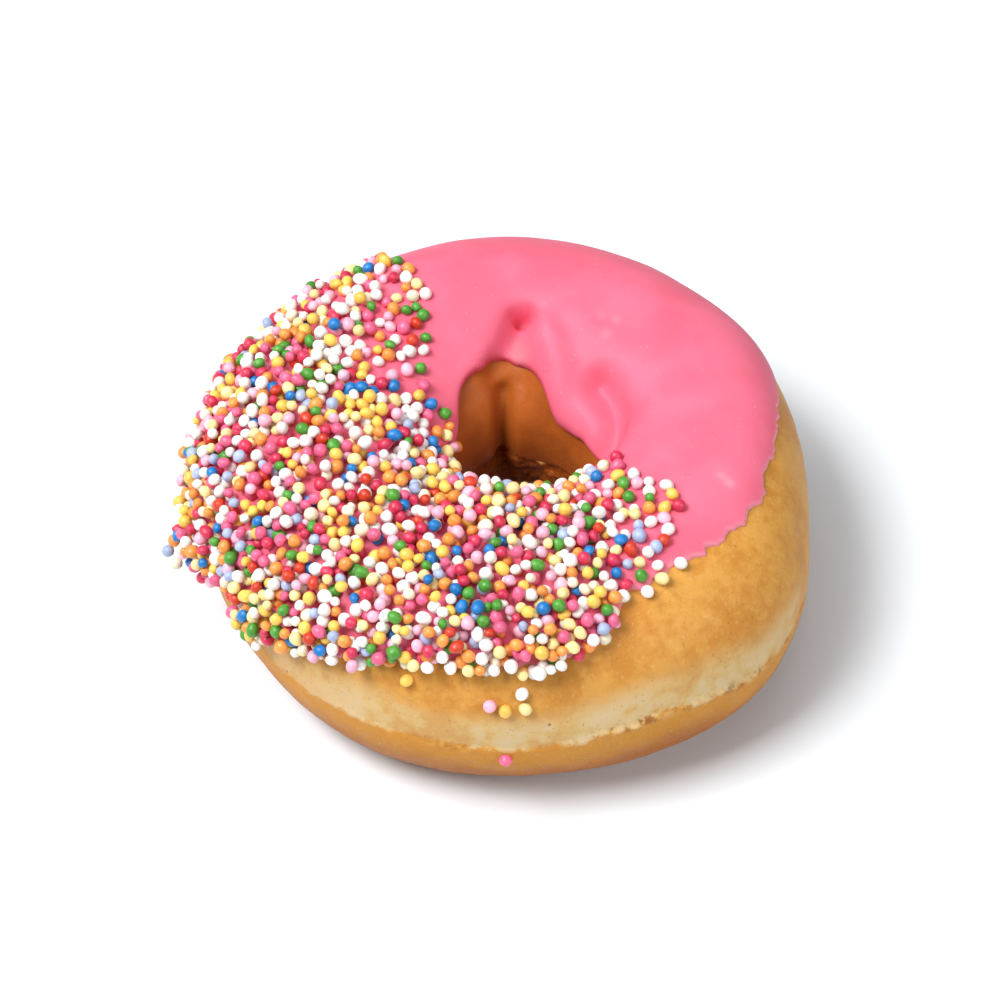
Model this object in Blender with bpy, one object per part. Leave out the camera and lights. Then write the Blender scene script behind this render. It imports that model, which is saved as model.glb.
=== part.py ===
"""A ring doughnut, dipped in pink icing on its top, with sugar sprinkles over one half.

The ring lies flat, crown up, with its origin under the middle of its box, on the surface
that it rests on. Two angles place every point of its skin. "turn" goes round the hole,
anticlockwise from +X. "tilt" goes round the dough from the outer waist (0), over the crown
(a quarter turn) and down into the hole (half a turn).
"""

import math
import random

import bpy
import numpy as np

MM = 0.001
QUARTER_TURN = math.pi / 2

# The ring of dough. A wave is (times it repeats in one turn, height, heading of its crest), and
# a swell is (heading, half width, height), with its angles in degrees.
RING_CENTRE = (1.85 * MM, -0.25 * MM)
RING_RADIUS = 42.2 * MM
OUTLINE_WAVES = ((2, 0.6 * MM, -51), (3, 0.6 * MM, -40), (4, 0.3 * MM, -27), (5, 0.3 * MM, 30))
OUTLINE_SWELLS = ((26, 18, 1.2 * MM), (348, 12, -0.4 * MM), (322, 12, 0.5 * MM))
HOLE_RADIUS = 9.1 * MM
HOLE_WAVES = ((1, 1.7 * MM, 44), (2, 1.1 * MM, 0))
HOLE_SWELLS = ((160, 32, -1.3 * MM), (325, 26, -0.6 * MM))
CROWN_HEIGHT = 32.0 * MM
WAIST_HEIGHT = 15.5 * MM
FOOT_SINK = 1.2 * MM
SECTION_SQUARENESS = 2.25

# Creases and rolls of the dough round the hole: (path in plan, half width, rise).
FOLDS = (
    (((-1.6 * MM, 14.5 * MM), (-1.7 * MM, 11.3 * MM), (-2.1 * MM, 7.0 * MM)), 1.5 * MM, -1.8 * MM),
    (((1.2 * MM, 21.8 * MM), (1.4 * MM, 17.0 * MM), (0.4 * MM, 13.0 * MM)), 2.4 * MM, -1.9 * MM),
    (((5.2 * MM, 20.0 * MM), (7.4 * MM, 14.3 * MM), (12.6 * MM, 4.6 * MM)), 2.2 * MM, 1.5 * MM),
    (((10.7 * MM, 14.8 * MM), (13.6 * MM, 10.0 * MM), (15.1 * MM, 4.5 * MM)), 1.8 * MM, -1.3 * MM),
    (((8.0 * MM, -10.0 * MM), (15.0 * MM, -5.0 * MM), (17.0 * MM, 0.0 * MM)), 4.5 * MM, 1.1 * MM),
)
FOLDS_FADE_FROM = 4.0 * MM
FOLDS_FADE_TO = 13.0 * MM

# The icing.
ICING_THICKNESS = 1.4 * MM
ICING_GAP = 0.4 * MM
ICING_LIP_SHARE = 0.55
ICING_EDGE_HEIGHT = 23.8 * MM
ICING_EDGE_WAVES = ((1, 6.5 * MM, -37), (2, 1.2 * MM, -65), (3, 0.6 * MM, 9), (4, 0.8 * MM, -26))
ICING_EDGE_SWELLS = (
    (8, 12, 0.8 * MM),
    (339, 11, -0.8 * MM),
    (308, 9, 0.9 * MM),
    (297, 6, 1.2 * MM),
    (274, 14, -1.3 * MM),
    (218, 6, -1.5 * MM),
    (204, 6, 3.0 * MM),
)
HOLE_EDGE_TILT = 154.0
HOLE_EDGE_RISES = ((99, 35, 22), (14, 18, 2.5))
HOLE_EDGE_SQUARENESS = 4

# The sprinkles. They lie to the left of the dip line, which crosses the ring and its hole.
DIP_LINE = (
    (-19.0 * MM, 42.0 * MM),
    (-11.5 * MM, 24.0 * MM),
    (-12.0 * MM, 9.0 * MM),
    (-7.0 * MM, 3.0 * MM),
    (12.0 * MM, -5.0 * MM),
    (21.5 * MM, -12.5 * MM),
    (21.0 * MM, -22.0 * MM),
    (19.5 * MM, -27.5 * MM),
    (24.0 * MM, -33.0 * MM),
    (24.0 * MM, -46.0 * MM),
)
BED_THICKNESS = 0.8 * MM
BED_RAMP = 7.0 * MM
SPRINKLE_COUNT = 195
SPRINKLE_RADII = (0.88 * MM, 0.98 * MM)
SPRINKLE_SINK = 0.25
SPRINKLE_EDGE_MARGIN = math.radians(5)
SPRINKLE_SEED = 7
LOOSE_SPRINKLE_SINK = 0.5

# Sprinkles that fell on the bare dough: (turn, tilt, colour).
LOOSE_SPRINKLES = (
    (250.0, 31.0, "deep yellow"),
    (266.0, 25.0, "light pink"),
    (268.9, 23.0, "deep yellow"),
    (272.0, 31.0, "white"),
    (272.6, 24.0, "pale yellow"),
    (269.0, -6.0, "hot pink"),
)

# Mesh steps.
COLUMNS = 60
ICING_OUTER_ROWS = 13
ICED_ROWS = 10
SIDE_ROWS = 8
CANDIDATES = 6000
NORMAL_STEP = math.radians(0.5)
SHARP_ANGLE = math.radians(30)

COLOURS = {
    "golden dough": ((0.62, 0.33, 0.095), 0.55),
    "pink icing": ((0.92, 0.21, 0.32), 0.32),
    "white": ((0.94, 0.90, 0.88), 0.35),
    "light pink": ((0.90, 0.36, 0.47), 0.35),
    "hot pink": ((0.72, 0.06, 0.13), 0.35),
    "deep yellow": ((0.88, 0.52, 0.08), 0.35),
    "pale yellow": ((0.92, 0.72, 0.36), 0.35),
    "orange": ((0.85, 0.30, 0.06), 0.35),
    "green": ((0.11, 0.35, 0.05), 0.35),
    "blue": ((0.02, 0.25, 0.62), 0.35),
    "lavender": ((0.40, 0.42, 0.62), 0.35),
}
SPRINKLE_COLOURS = (
    ("white", 25),
    ("light pink", 13),
    ("hot pink", 17),
    ("deep yellow", 9),
    ("pale yellow", 10),
    ("orange", 8),
    ("green", 8),
    ("blue", 4),
    ("lavender", 6),
)


def waves(turn, table):
    """Sum of the table's waves at these turns."""
    total = np.zeros_like(turn)
    for repeats, height, heading in table:
        total = total + height * np.cos(repeats * (turn - math.radians(heading)))
    return total


def turns_between(turn, heading):
    """Degrees from a heading to each turn, the shorter way round."""
    return (np.degrees(turn) - heading + 180) % 360 - 180


def swells(turn, table):
    """Sum of the table's swells at these turns."""
    total = np.zeros_like(turn)
    for heading, half_width, height in table:
        total = total + height * np.exp(-((turns_between(turn, heading) / half_width) ** 2))
    return total


def smooth_ramp(value, start, end):
    """0 at start, 1 at end, with a soft S between them."""
    share = np.clip((value - start) / (end - start), 0, 1)
    return share * share * (3 - 2 * share)


def distances_to_path(points, path):
    """Distance in plan from each point to each straight stretch of the path, stretches first."""
    distances = []
    for start, end in zip(np.array(path), np.array(path)[1:]):
        along = end - start
        share = np.clip((points - start) @ along / (along @ along), 0, 1)
        distances.append(np.linalg.norm(points - start - share[..., None] * along, axis=-1))
    return np.stack(distances)


def ring_section(turn):
    """Radius of the section's middle and half its width, at these turns."""
    outer = RING_RADIUS + waves(turn, OUTLINE_WAVES) + swells(turn, OUTLINE_SWELLS)
    inner = HOLE_RADIUS + waves(turn, HOLE_WAVES) + swells(turn, HOLE_SWELLS)
    return (outer + inner) / 2, (outer - inner) / 2


def plain_skin(turn, tilt):
    """Points of the dough's skin before its folds, in metres from the ring's centre."""
    middle, half_width = ring_section(turn)
    across, up = np.cos(tilt), np.sin(tilt)
    half_height = np.where(up > 0, CROWN_HEIGHT - WAIST_HEIGHT, WAIST_HEIGHT + FOOT_SINK)
    power = SECTION_SQUARENESS
    reach = (np.abs(across / half_width) ** power + np.abs(up / half_height) ** power) ** (-1 / power)
    radius = middle + reach * across
    height = np.maximum(WAIST_HEIGHT + reach * up, 0)
    return np.stack([radius * np.cos(turn), radius * np.sin(turn), height], axis=-1)


def foot_lean(turn):
    """Tilt from straight down to the rim of the flat foot, where the section meets the table."""
    drop = WAIST_HEIGHT / (WAIST_HEIGHT + FOOT_SINK)
    share = (1 - drop**SECTION_SQUARENESS) ** (1 / SECTION_SQUARENESS)
    return np.arctan2(share * ring_section(turn)[1], WAIST_HEIGHT)


def outward(surface, turn, tilt):
    """Unit vectors square to a surface, pointing out of the dough."""
    step = NORMAL_STEP
    round_ring = surface(turn + step, tilt) - surface(turn - step, tilt)
    round_dough = surface(turn, tilt + step) - surface(turn, tilt - step)
    square = np.cross(round_ring, round_dough)
    return square / np.linalg.norm(square, axis=-1, keepdims=True)


def dough_skin(turn, tilt):
    """Points of the dough's skin with its creases and rolls."""
    points = plain_skin(turn, tilt)
    rise = np.zeros_like(points[..., 0])
    for path, half_width, height in FOLDS:
        distance = distances_to_path(points[..., :2], path).min(axis=0)
        rise = rise + height * np.exp(-((distance / half_width) ** 2))
    rise = rise * smooth_ramp(points[..., 2], FOLDS_FADE_FROM, FOLDS_FADE_TO)
    return points + outward(plain_skin, turn, tilt) * rise[..., None]


def tilt_at_height(turn, height):
    """Tilt at which the outer side reaches this height, at one turn."""
    tilts = np.linspace(-QUARTER_TURN, QUARTER_TURN, 181)
    heights = plain_skin(np.full_like(tilts, turn), tilts)[:, 2]
    return float(np.interp(height, heights, tilts))


def icing_edges(turns):
    """Tilts at which the icing starts on the outer side and ends in the hole."""
    heights = ICING_EDGE_HEIGHT + waves(turns, ICING_EDGE_WAVES) + swells(turns, ICING_EDGE_SWELLS)
    outer = np.array([tilt_at_height(turn, height) for turn, height in zip(turns, heights)])
    inner = np.full_like(turns, HOLE_EDGE_TILT)
    for heading, half_width, rise in HOLE_EDGE_RISES:
        away = np.abs(turns_between(turns, heading)) / half_width
        inner = inner - rise * np.exp(-(away**HOLE_EDGE_SQUARENESS))
    return outer, np.radians(inner)


def depth_in_dip(points):
    """Distance in plan behind the dip line, positive on the sprinkled side."""
    distances = distances_to_path(points, DIP_LINE)
    nearest = distances.argmin(axis=0)
    starts = np.array(DIP_LINE)[nearest]
    along = np.array(DIP_LINE)[nearest + 1] - starts
    away = points - starts
    side = along[..., 0] * away[..., 1] - along[..., 1] * away[..., 0]
    return np.where(side < 0, distances.min(axis=0), -distances.min(axis=0))


def icing_lift(turn, tilt, share):
    """Height of the icing's face over the dough, where share runs from edge (0) to edge (1)."""
    behind = depth_in_dip(plain_skin(turn, tilt)[..., :2])
    bed = BED_THICKNESS * smooth_ramp(behind, 0, BED_RAMP)
    lip = ICING_LIP_SHARE + (1 - ICING_LIP_SHARE) * np.sqrt(np.clip(np.sin(math.pi * share) * 2, 0, 1))
    return (ICING_THICKNESS + bed) * lip


def new_material(name):
    """Principled material of the named colour."""
    colour, roughness = COLOURS[name]
    material = bpy.data.materials.new(name)
    material.diffuse_color = (*colour, 1)
    material.use_nodes = True
    shader = material.node_tree.nodes["Principled BSDF"]
    shader.inputs["Base Color"].default_value = (*colour, 1)
    shader.inputs["Roughness"].default_value = roughness
    shader.inputs["Metallic"].default_value = 0
    return material


def new_object(name, points, faces, material):
    """Smooth mesh object of these points and faces."""
    mesh = bpy.data.meshes.new(name)
    mesh.from_pydata(points, [], faces)
    mesh.materials.append(material)
    mesh.shade_smooth()
    made = bpy.data.objects.new(name, mesh)
    bpy.context.scene.collection.objects.link(made)
    return made


def closed_tube(name, grid, material):
    """Closed ring-shaped object from a grid of points, columns round the hole, rows round the tube.

    Each quad is split along its shorter diagonal, so that two skins on one grid bend alike.
    """
    columns, rows = grid.shape[:2]
    faces = []
    for column in range(columns):
        next_column = (column + 1) % columns
        for row in range(rows):
            next_row = (row + 1) % rows
            corners = [(column, row), (next_column, row), (next_column, next_row), (column, next_row)]
            first, second, third, fourth = (place[0] * rows + place[1] for place in corners)
            rising = np.linalg.norm(grid[corners[0]] - grid[corners[2]])
            falling = np.linalg.norm(grid[corners[1]] - grid[corners[3]])
            if rising < falling:
                faces += [(first, second, third), (first, third, fourth)]
            else:
                faces += [(first, second, fourth), (second, third, fourth)]
    centre = (*RING_CENTRE, 0)
    return new_object(name, (grid + centre).reshape(-1, 3).tolist(), faces, material)


def ball(name, centre, radius, colour):
    """Twenty-sided ball, standing for one sprinkle."""
    bpy.ops.mesh.primitive_ico_sphere_add(subdivisions=1, radius=radius, location=centre)
    made = bpy.context.object
    made.name = name
    made.data.materials.append(bpy.data.materials[colour])
    return made


def fuse(carrier, balls):
    """Join the balls to what they lie on, and remove them."""
    group = bpy.data.collections.new("sprinkles on " + carrier.name)
    bpy.context.scene.collection.children.link(group)
    for piece in balls:
        group.objects.link(piece)
    union = carrier.modifiers.new("sprinkles", "BOOLEAN")
    union.operation = "UNION"
    union.operand_type = "COLLECTION"
    union.collection = group
    union.solver = "EXACT"
    union.material_mode = "TRANSFER"
    view = bpy.context.evaluated_depsgraph_get()
    joined = bpy.data.meshes.new_from_object(carrier.evaluated_get(view))
    joined.set_sharp_from_angle(angle=SHARP_ANGLE)
    carrier.modifiers.clear()
    carrier.data = joined
    for piece in balls:
        bpy.data.objects.remove(piece)
    bpy.data.collections.remove(group)


def build_dough():
    """The ring of dough, with the loose sprinkles fused to its side.

    Its rows under the icing are the icing's own, so that the two faces stay the gap apart.
    """
    turns = np.arange(COLUMNS) / COLUMNS * math.tau
    outer, inner = icing_edges(turns)
    straight_down, lean = 3 * QUARTER_TURN, foot_lean(turns)
    iced = np.linspace(outer, inner, ICED_ROWS, axis=1)
    hole_side = np.linspace(inner, straight_down - lean, SIDE_ROWS, axis=1)[:, 1:]
    outer_side = np.linspace(straight_down + lean, outer + math.tau, SIDE_ROWS, axis=1)[:, :-1]
    tilt = np.concatenate([iced, hole_side, outer_side], axis=1)
    turn = np.repeat(turns[:, None], tilt.shape[1], axis=1)
    dough = closed_tube("dough", dough_skin(turn, tilt), new_material("golden dough"))
    radius = SPRINKLE_RADII[0]
    balls = []
    for turn, tilt, colour in LOOSE_SPRINKLES:
        place = np.radians([turn]), np.radians([tilt])
        lift = radius * (1 - LOOSE_SPRINKLE_SINK)
        centre = (dough_skin(*place) + outward(plain_skin, *place) * lift)[0]
        balls.append(ball("loose sprinkle", centre + (*RING_CENTRE, 0), radius, colour))
    fuse(dough, balls)
    return dough


def build_icing_shell():
    """The icing as a closed skin, from its outer edge over the crown into the hole and back."""
    turns = np.arange(COLUMNS) / COLUMNS * math.tau
    outer, inner = icing_edges(turns)
    going = np.linspace(0, 1, ICING_OUTER_ROWS)
    coming = np.linspace(1, 0, ICED_ROWS)
    share = np.tile(np.concatenate([going, coming]), (COLUMNS, 1))
    turn = np.repeat(turns[:, None], share.shape[1], axis=1)
    tilt = outer[:, None] + (inner - outer)[:, None] * share
    lift = np.full_like(share, ICING_GAP)
    face = slice(0, ICING_OUTER_ROWS)
    lift[:, face] = icing_lift(turn[:, face], tilt[:, face], share[:, face])
    grid = dough_skin(turn, tilt) + outward(plain_skin, turn, tilt) * lift[..., None]
    return closed_tube("icing", grid, new_material("pink icing"))


def spread_places():
    """Places of the icing's sprinkles, each as far as can be from those before it."""
    draw = np.random.default_rng(SPRINKLE_SEED)
    turn = draw.uniform(0, math.tau, CANDIDATES)
    share = draw.uniform(0, 1, CANDIDATES)
    outer, inner = icing_edges(turn)
    margin = SPRINKLE_EDGE_MARGIN
    tilt = outer + margin + (inner - outer - 2 * margin) * share
    lift = icing_lift(turn, tilt, share)
    points = dough_skin(turn, tilt) + outward(plain_skin, turn, tilt) * lift[:, None]
    inside = depth_in_dip(points[:, :2]) > 0
    points, turn, tilt = points[inside], turn[inside], tilt[inside]
    chosen = [int(points[:, 2].argmax())]
    nearest = np.linalg.norm(points - points[chosen[0]], axis=1)
    while len(chosen) < SPRINKLE_COUNT:
        chosen.append(int(nearest.argmax()))
        nearest = np.minimum(nearest, np.linalg.norm(points - points[chosen[-1]], axis=1))
    return points[chosen], outward(plain_skin, turn[chosen], tilt[chosen])


def build_icing():
    """The icing, with the largest sprinkles of its half fused to it."""
    icing = build_icing_shell()
    draw = random.Random(SPRINKLE_SEED)
    names, weights = zip(*SPRINKLE_COLOURS)
    balls = []
    for place, up in zip(*spread_places()):
        radius = draw.uniform(*SPRINKLE_RADII)
        centre = place + up * radius * (1 - 2 * SPRINKLE_SINK) + (*RING_CENTRE, 0)
        balls.append(ball("sprinkle", centre, radius, draw.choices(names, weights)[0]))
        balls[-1].rotation_euler = [draw.uniform(0, math.tau) for _ in range(3)]
    fuse(icing, balls)
    return icing


def main():
    """Clear the scene and build the doughnut."""
    for old in list(bpy.data.objects):
        bpy.data.objects.remove(old, do_unlink=True)
    for name, _ in SPRINKLE_COLOURS:
        new_material(name)
    doughnut = bpy.data.objects.new("doughnut", None)
    bpy.context.scene.collection.objects.link(doughnut)
    for piece in (build_dough(), build_icing()):
        piece.parent = doughnut


main()
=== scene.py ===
"""The looks of a ring doughnut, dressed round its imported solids.

The ring is fried dough with a pale band round its waist. Pink icing covers its top, and sugar
sprinkles lie over one half. Two angles place every point of its skin. "turn" goes round the
hole, anticlockwise from +X. "tilt" goes round the dough from the outer waist (0), over the
crown (a quarter turn) and down into the hole (half a turn).
"""

import logging
import math
from dataclasses import dataclass, field
from enum import Enum
from typing import Any, Callable, Sequence

import bmesh
import bpy
import numpy as np
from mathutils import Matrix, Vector


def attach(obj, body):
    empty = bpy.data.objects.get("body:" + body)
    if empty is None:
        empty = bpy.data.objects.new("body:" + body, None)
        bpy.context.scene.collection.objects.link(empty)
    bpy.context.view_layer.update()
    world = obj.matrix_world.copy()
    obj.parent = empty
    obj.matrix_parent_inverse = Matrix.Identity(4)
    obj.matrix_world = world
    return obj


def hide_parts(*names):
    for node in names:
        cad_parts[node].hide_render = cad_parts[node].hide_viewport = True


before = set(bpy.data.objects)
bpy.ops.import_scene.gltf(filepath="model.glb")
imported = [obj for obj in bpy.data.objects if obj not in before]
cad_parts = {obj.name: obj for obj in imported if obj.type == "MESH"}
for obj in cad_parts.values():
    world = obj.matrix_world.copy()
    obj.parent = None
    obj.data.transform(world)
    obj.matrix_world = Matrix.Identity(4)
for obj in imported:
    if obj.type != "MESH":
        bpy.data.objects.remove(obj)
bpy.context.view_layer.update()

LOG = logging.getLogger("doughnut")
MM = 0.001
QUARTER_TURN = math.pi / 2
STRAIGHT_DOWN = 3 * QUARTER_TURN
SLOPE_STEP = math.radians(0.5)
NOISE_SPAN = (0.3, 0.7)

Array = np.ndarray
Colour = tuple[float, float, float]
Skin = Callable[[Array, Array], Array]


def linear(red: int, green: int, blue: int) -> Colour:
    """Turn a screen colour of 0 to 255 into the linear values that a shader takes.

    Args:
        red: Red on the screen.
        green: Green on the screen.
        blue: Blue on the screen.

    Returns:
        The three linear values.
    """
    shares = (value / 255 for value in (red, green, blue))
    return tuple(s / 12.92 if s <= 0.04045 else ((s + 0.055) / 1.055) ** 2.4 for s in shares)


def smooth_ramp(value: Array, start: float, end: float) -> Array:
    """Rise from 0 at start to 1 at end, with a soft S between them.

    Args:
        value: The values to ramp.
        start: Where the ramp leaves 0.
        end: Where the ramp reaches 1.

    Returns:
        The ramp at each value.
    """
    share = np.clip((value - start) / (end - start), 0, 1)
    return share * share * (3 - 2 * share)


def smooth_path(path: Sequence[tuple[float, float]], steps: int = 6) -> Array:
    """Draw a smooth curve through the corners of a path.

    Args:
        path: The corners.
        steps: How many points to draw for each stretch.

    Returns:
        The curve's points.
    """
    corners = np.array(path)
    padded = np.vstack([2 * corners[0] - corners[1], corners, 2 * corners[-1] - corners[-2]])
    share = np.linspace(0, 1, steps, endpoint=False)[:, None]
    stretches = []
    for before, start, end, after in zip(padded, padded[1:], padded[2:], padded[3:]):
        rise = (end - before) * share
        bend = (2 * before - 5 * start + 4 * end - after) * share**2
        twist = (3 * start - before - 3 * end + after) * share**3
        stretches.append(start + (rise + bend + twist) / 2)
    return np.vstack([*stretches, corners[-1]])


def beside_path(points: Array, path: Array) -> tuple[Array, Array]:
    """Measure in plan from each point to a path.

    Args:
        points: Places in plan, with x and y on the last axis.
        path: The path's corners.

    Returns:
        The distances, and the sides: 1 on the path's left, -1 on its right, between them past its ends.
    """
    distances = []
    for start, end in zip(path, path[1:]):
        along = end - start
        share = np.clip((points - start) @ along / (along @ along), 0, 1)
        distances.append(np.linalg.norm(points - start - share[..., None] * along, axis=-1))
    distances = np.stack(distances)
    nearest, distance = distances.argmin(axis=0), distances.min(axis=0)
    along = np.diff(path, axis=0)[nearest]
    away = points - path[nearest]
    across = along[..., 0] * away[..., 1] - along[..., 1] * away[..., 0]
    side = across / np.linalg.norm(along, axis=-1) / np.maximum(distance, 1e-9)
    return distance, np.clip(side, -1, 1)


class Unevenness:
    """Seeded smooth noise in space, the same at the same place each time.

    Points that are moved by a fixed offset first read another part of the noise.
    """

    CELLS = 32

    def __init__(self, seed: int) -> None:
        """Draw the lattice of values that the noise is smoothed from."""
        self.lattice = np.random.default_rng(seed).uniform(-1, 1, (self.CELLS,) * 3)

    def at(self, points: Array, grain: float) -> Array:
        """Read the noise at points, with bumps about as wide as the grain.

        Args:
            points: Places in space.
            grain: Width of a bump, in metres.

        Returns:
            A value of about -1 to 1 for each point.
        """
        place = points / grain
        low = np.floor(place).astype(int)
        share = place - low
        share = share * share * (3 - 2 * share)
        total = np.zeros(points.shape[:-1])
        for corner in np.ndindex(2, 2, 2):
            weight = np.prod(np.where(corner, share, 1 - share), axis=-1)
            cell = (low + corner) % self.CELLS
            total += weight * self.lattice[cell[..., 0], cell[..., 1], cell[..., 2]]
        return total

    def layered(self, points: Array, grain: float, layers: int) -> Array:
        """Add finer and weaker layers of the noise to each other.

        Args:
            points: Places in space.
            grain: Width of the widest bumps.
            layers: How many layers, each half as wide and half as strong as the last.

        Returns:
            A value of about -1 to 1 for each point.
        """
        parts = [self.at(points + layer * grain, grain / 2**layer) / 2**layer for layer in range(layers)]
        return sum(parts) / (2 - 2 ** (1 - layers))


@dataclass(frozen=True)
class Wave:
    """One wave round the ring: its repeats in a turn, its height and its crest's heading."""

    repeats: int
    height: float
    heading: float

    def at(self, turn: Array) -> Array:
        """Height of the wave at these turns."""
        return self.height * np.cos(self.repeats * (turn - math.radians(self.heading)))


def waves(turn: Array, table: Sequence["Wave | Swell"]) -> Array:
    """Sum of the table's waves and swells at these turns."""
    return sum((wave.at(turn) for wave in table), np.zeros_like(turn))


def turns_between(turn: Array, heading: float) -> Array:
    """Degrees from a heading to each turn, the shorter way round."""
    return (np.degrees(turn) - heading + 180) % 360 - 180


@dataclass(frozen=True)
class Swell:
    """A rise over part of the ring: its heading and half width in degrees, and its height.

    Its squareness is 2 for a bell, and 4 for a bell with a flatter top and steeper sides.
    """

    heading: float
    half_width: float
    height: float
    squareness: int = 2

    def at(self, turn: Array) -> Array:
        """Height of the swell at these turns."""
        away = turns_between(turn, self.heading) / self.half_width
        return self.height * np.exp(-(away**self.squareness))


@dataclass(frozen=True)
class Fold:
    """A crease or roll of the dough: its path in plan, in millimetres, its half width and its rise.

    It leans by a share of its half width, and is then wider on the path's left than on its right.
    """

    path: tuple[tuple[float, float], ...]
    half_width: float
    rise: float
    lean: float = 0

    def at(self, plan: Array) -> Array:
        """Work out the fold's rise.

        Args:
            plan: Places in plan, from the ring's centre.

        Returns:
            The rise at each of them.
        """
        distance, side = beside_path(plan, smooth_path(self.path) * MM)
        half_width = self.half_width * (1 + self.lean * side)
        return self.rise * np.exp(-((distance / half_width) ** 2))


def outward(surface: Skin, turn: Array, tilt: Array) -> Array:
    """Find the unit vectors square to a surface, pointing out of the dough.

    Args:
        surface: The surface, as a function of turn and tilt.
        turn: Angles round the hole.
        tilt: Angles round the dough.

    Returns:
        One vector for each pair of angles.
    """
    step = SLOPE_STEP
    round_ring = surface(turn + step, tilt) - surface(turn - step, tilt)
    round_dough = surface(turn, tilt + step) - surface(turn, tilt - step)
    square = np.cross(round_ring, round_dough)
    return square / np.linalg.norm(square, axis=-1, keepdims=True)


@dataclass(frozen=True)
class RingForm:
    """The ring's form: the named sizes that dough, icing and sprinkles are all worked out from."""

    centre: tuple[float, float] = (1.85 * MM, -0.25 * MM)
    radius: float = 42.2 * MM
    outline: tuple[Wave | Swell, ...] = (
        Wave(2, 0.6 * MM, -51),
        Wave(3, 0.6 * MM, -40),
        Wave(4, 0.3 * MM, -27),
        Wave(5, 0.3 * MM, 30),
        Swell(26, 18, 1.2 * MM),
        Swell(348, 12, -0.4 * MM),
        Swell(322, 12, 0.5 * MM),
    )
    hole_radius: float = 9.1 * MM
    hole_outline: tuple[Wave | Swell, ...] = (
        Wave(1, 1.7 * MM, 44),
        Wave(2, 1.1 * MM, 0),
        Swell(160, 32, -1.3 * MM),
        Swell(325, 26, -0.6 * MM),
    )
    crown_height: float = 32.0 * MM
    waist_height: float = 15.5 * MM
    foot_sink: float = 1.2 * MM
    squareness: float = 2.25
    folds: tuple[Fold, ...] = (
        Fold(((-0.8, 11.6), (-0.8, 10), (-1, 7)), 1.15 * MM, -2.5 * MM),
        Fold(((1.0, 21.6), (1.7, 21.8), (2.4, 21.8)), 0.85 * MM, -2.2 * MM, -0.3),
        Fold(((1.6, 20.4), (1.4, 17), (1.0, 13.2)), 2.2 * MM, -1.7 * MM),
        Fold(((1.6, 20.6), (-0.4, 17), (-2.2, 14.2)), 1.8 * MM, -2.0 * MM),
        Fold(((4.8, 19), (6.6, 15.3), (7.4, 12.6), (8.2, 10.2), (10, 8.2), (12.2, 5.2)), 2.3 * MM, 1.0 * MM),
        Fold(((4.4, 22), (7.8, 18.3), (9.6, 14.1), (10.6, 11.6)), 1.7 * MM, -0.4 * MM),
        Fold(((12.0, 10.2), (13.4, 8.0), (14.2, 5.4), (14.2, 3.0), (13.4, 1.0)), 1.8 * MM, -2.7 * MM, 0.45),
        Fold(((12.2, 19.5), (12.6, 19.3)), 0.7 * MM, -0.3 * MM),
        Fold(((8, -10), (15, -5), (17, 0)), 4.5 * MM, 1.1 * MM),
    )
    folds_fade: tuple[float, float] = (4 * MM, 13 * MM)
    lump_grain: float = 13 * MM
    lump_height: float = 0.35 * MM
    icing_edge: float = 23.8 * MM
    icing_edge_waves: tuple[Wave | Swell, ...] = (
        Wave(1, 6.5 * MM, -37),
        Wave(2, 1.2 * MM, -65),
        Wave(3, 0.6 * MM, 9),
        Wave(4, 0.8 * MM, -26),
        Swell(8, 12, 0.8 * MM),
        Swell(339, 11, -0.8 * MM),
        Swell(308, 9, 0.9 * MM),
        Swell(297, 6, 1.2 * MM),
        Swell(274, 14, -1.3 * MM),
        Swell(218, 6, -1.5 * MM),
        Swell(204, 6, 3 * MM),
    )
    hole_edge_tilt: float = 154
    hole_edge_rises: tuple[Swell, ...] = (Swell(99, 35, 22, 4), Swell(96, 7, 3.5, 4), Swell(14, 18, 2.5, 4))
    dip_line: tuple[tuple[float, float], ...] = (
        (-19 * MM, 42 * MM),
        (-11.5 * MM, 24 * MM),
        (-12 * MM, 9 * MM),
        (-7 * MM, 3 * MM),
        (12 * MM, -5 * MM),
        (21.5 * MM, -12.5 * MM),
        (21 * MM, -22 * MM),
        (19.5 * MM, -27.5 * MM),
        (24 * MM, -33 * MM),
        (24 * MM, -46 * MM),
    )
    outer_steps: int = 181
    lumps: Unevenness = field(default_factory=lambda: Unevenness(3))

    def section(self, turn: Array) -> tuple[Array, Array]:
        """Measure the ring's section.

        Args:
            turn: Angles round the hole.

        Returns:
            The radius of the section's middle and half its width, at each of them.
        """
        outer = self.radius + waves(turn, self.outline)
        inner = self.hole_radius + waves(turn, self.hole_outline)
        return (outer + inner) / 2, (outer - inner) / 2

    def plain_skin(self, turn: Array, tilt: Array) -> Array:
        """Points of the dough's skin before its folds, from the ring's centre.

        Args:
            turn: Angles round the hole.
            tilt: Angles round the dough.

        Returns:
            One point for each pair of angles, in metres.
        """
        middle, half_width = self.section(turn)
        across, up = np.cos(tilt), np.sin(tilt)
        rise, drop = self.crown_height - self.waist_height, self.waist_height + self.foot_sink
        half_height = np.where(up > 0, rise, drop)
        power = self.squareness
        reach = (np.abs(across / half_width) ** power + np.abs(up / half_height) ** power) ** (-1 / power)
        radius = middle + reach * across
        height = np.maximum(self.waist_height + reach * up, 0)
        return np.stack([radius * np.cos(turn), radius * np.sin(turn), height], axis=-1)

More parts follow.
